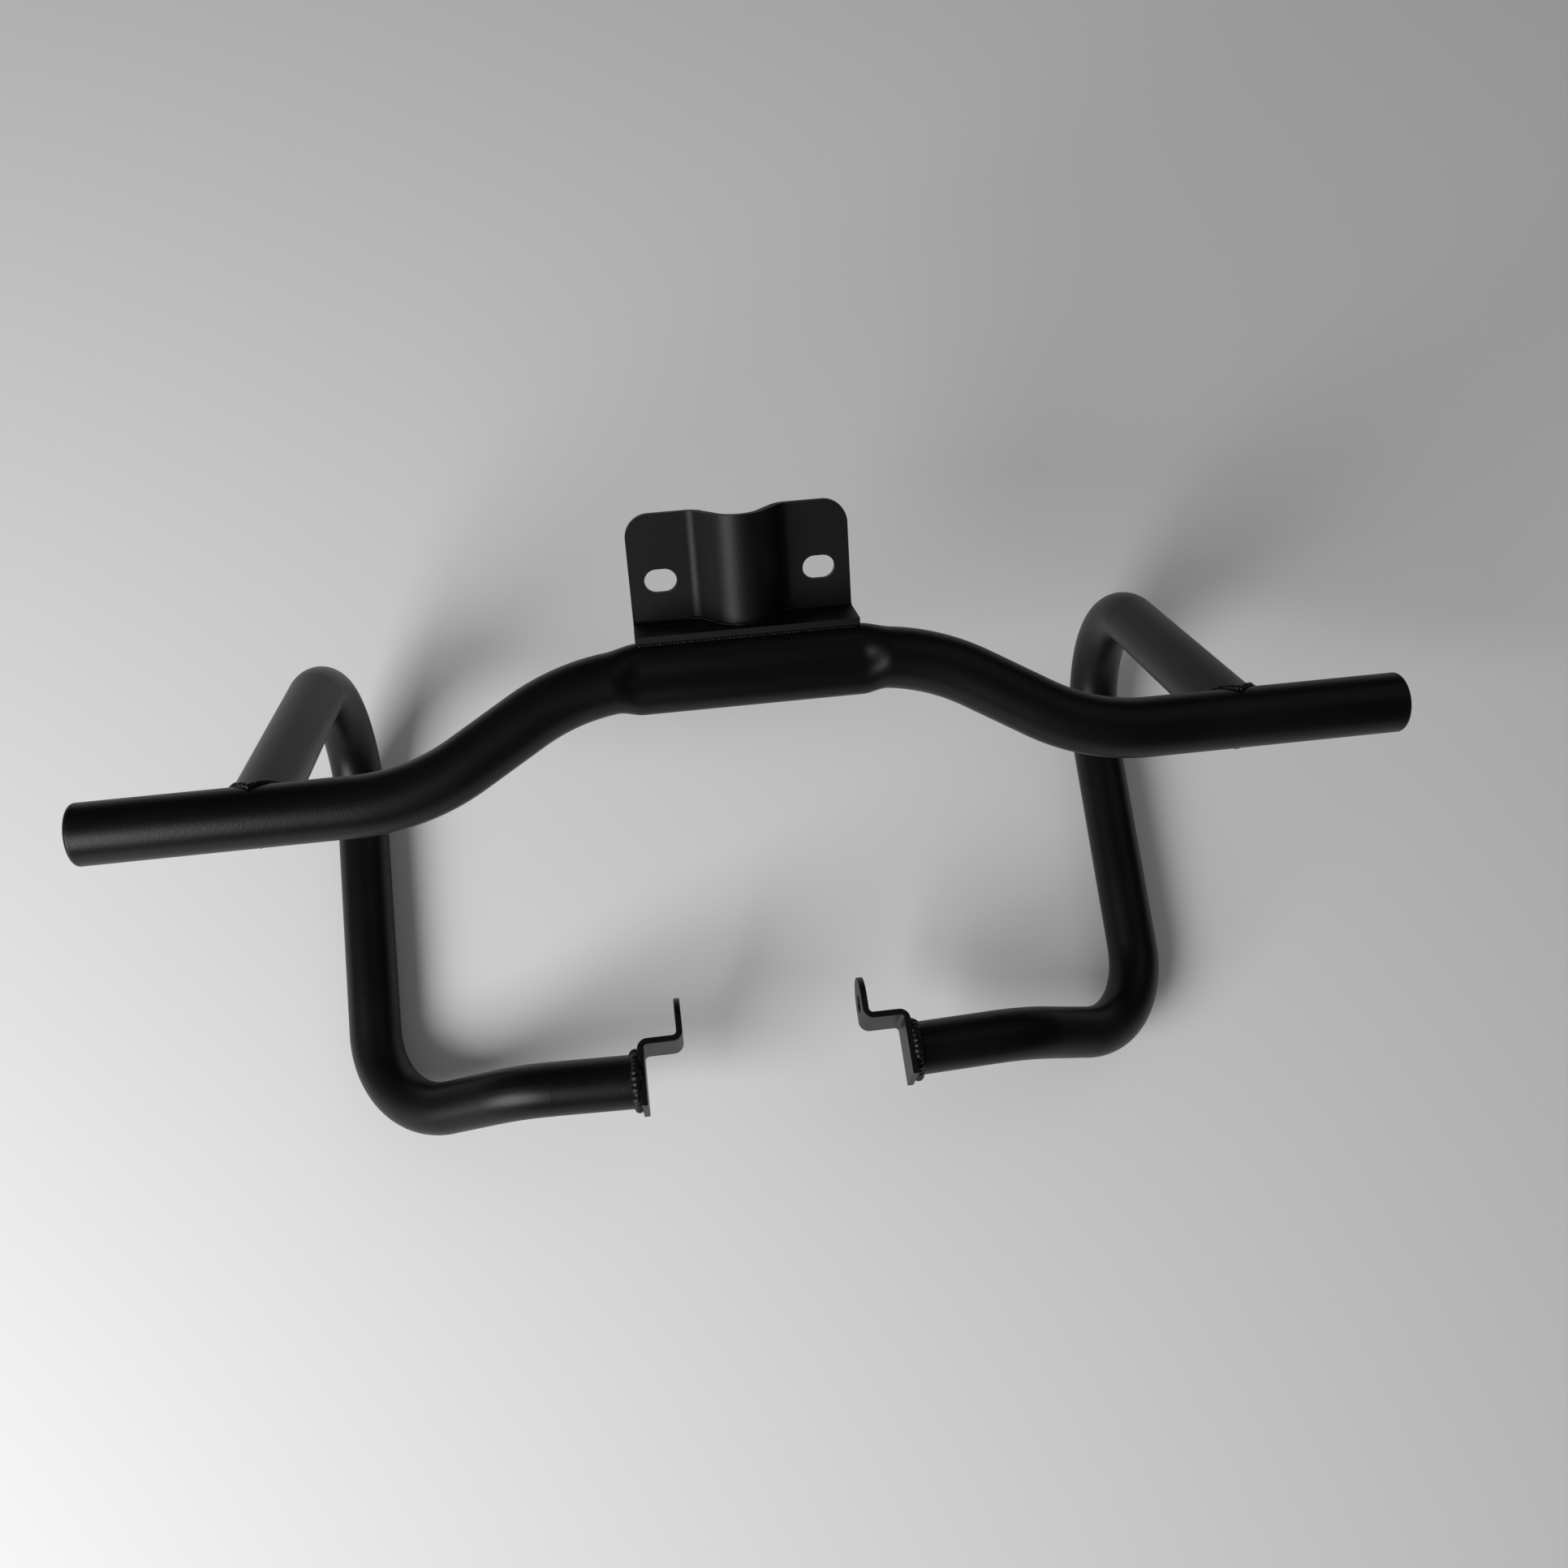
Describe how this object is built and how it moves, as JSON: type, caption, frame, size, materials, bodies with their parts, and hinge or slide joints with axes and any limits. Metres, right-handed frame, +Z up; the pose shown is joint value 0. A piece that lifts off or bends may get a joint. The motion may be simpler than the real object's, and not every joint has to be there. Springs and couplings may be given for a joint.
{
  "type": "motorcycle crash bars",
  "caption": "Gull-shaped tubular front bar with a folded saddle bracket, two bent side loops and folded bolt straps at their feet, painted black.",
  "frame": {"origin": "middle of the two saddle slots, on the rear face of the bracket's ears", "axes": "+Y to the rear of the motorcycle, along the saddle bolts; +X to the right of the picture, across the motorcycle; +Z up along the frame's down tube"},
  "size_m": [0.546, 0.2119, 0.299],
  "materials": {
    "tube_coat": "matte",
    "cap_coat": "matte",
    "bracket_coat": "matte",
    "strap_coat": "matte",
    "weld_metal": "matte"
  },
  "bodies": {
    "root": {"front_bar": "tube_coat", "end_cap_left": "cap_coat", "end_cap_right": "cap_coat", "saddle_bracket": "bracket_coat", "loop_left": "tube_coat", "loop_right": "tube_coat", "strap_left": "strap_coat", "strap_right": "strap_coat", "weld_flange_front": "weld_metal", "weld_flange_rear": "weld_metal", "weld_channel": "weld_metal", "weld_loop_left": "weld_metal", "weld_loop_right": "weld_metal", "weld_strap_left": "weld_metal", "weld_strap_right": "weld_metal"}
  },
  "joints": []
}
